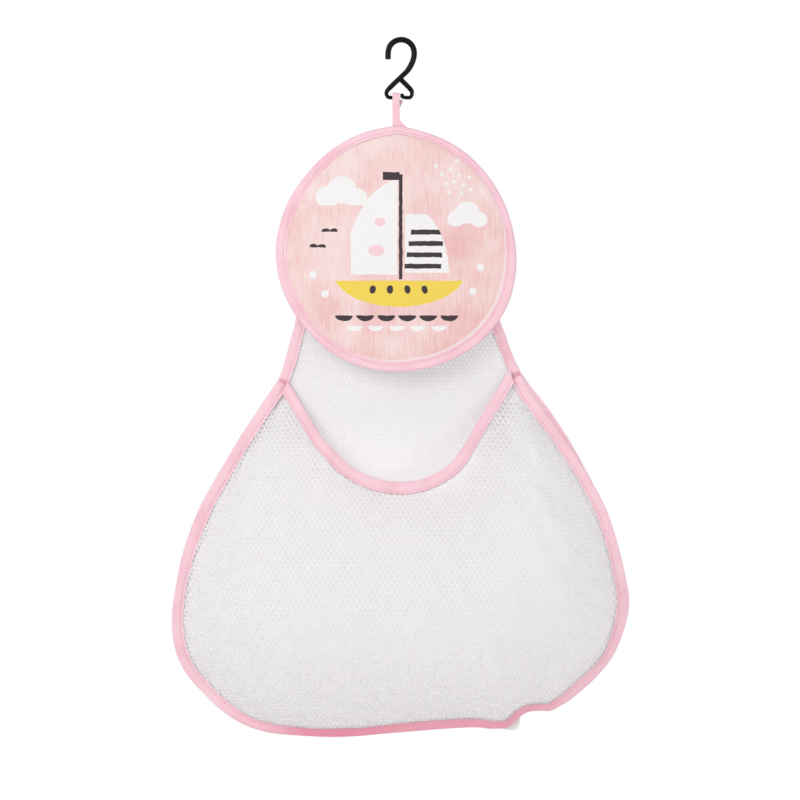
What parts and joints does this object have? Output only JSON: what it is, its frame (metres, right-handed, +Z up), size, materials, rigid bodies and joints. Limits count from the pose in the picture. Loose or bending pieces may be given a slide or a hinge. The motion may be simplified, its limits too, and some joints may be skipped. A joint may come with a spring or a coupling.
{
  "type": "bath toy organizer",
  "caption": "Hanging bath toy net: a plastic hook and ribbon loop carry a round padded head, which carries a wide net pocket with an open mouth and taped edges.",
  "frame": {"origin": "top inside of the hook's crook, where the rod or peg that holds it bears", "axes": "+Z up, the printed head and the net pocket's bulge face -Y, +X to the viewer's right, the wall is on the +Y side"},
  "size_m": [0.3879, 0.0723, 0.5908],
  "materials": {
    "hook_plastic": "black moulded plastic with a soft gloss",
    "pink_tape": "pink woven polyester binding tape, matt",
    "pink_thread": "pink polyester sewing thread",
    "white_net": "white knitted polyester net with hexagonal holes",
    "printed_cloth": null,
    "white_cloth": "plain white woven polyester",
    "foam_sheet": "thin white foam sheet, hidden"
  },
  "bodies": {
    "hook": {"hook": "hook_plastic"},
    "head": {"hanging_loop": "pink_tape", "loop_tack": "pink_thread", "head_print": "printed_cloth", "head_foam": "foam_sheet", "head_backing": "white_cloth", "head_binding": "pink_tape", "head_seam_thread": "pink_thread"},
    "pocket": {"back_net": "white_net", "front_net": "white_net", "neck_binding_left": "pink_tape", "neck_binding_right": "pink_tape", "pocket_binding": "pink_tape", "pocket_seam_thread": "pink_thread", "mouth_binding": "pink_tape", "mouth_seam_thread": "pink_thread", "shoulder_tack_left": "pink_thread", "shoulder_tack_right": "pink_thread"}
  },
  "joints": [
    {"name": "bag_swing", "type": "hinge", "parent": "hook", "child": "head", "pos_m": [-0.0043, 0, -0.0462], "axis": [1, 0, 0], "range_deg": [-90, 90]},
    {"name": "pocket_fold", "type": "hinge", "parent": "head", "child": "pocket", "pos_m": [-0.0038, 0.00165, -0.2187], "axis": [1, 0, 0], "range_deg": [0, 150]}
  ]
}
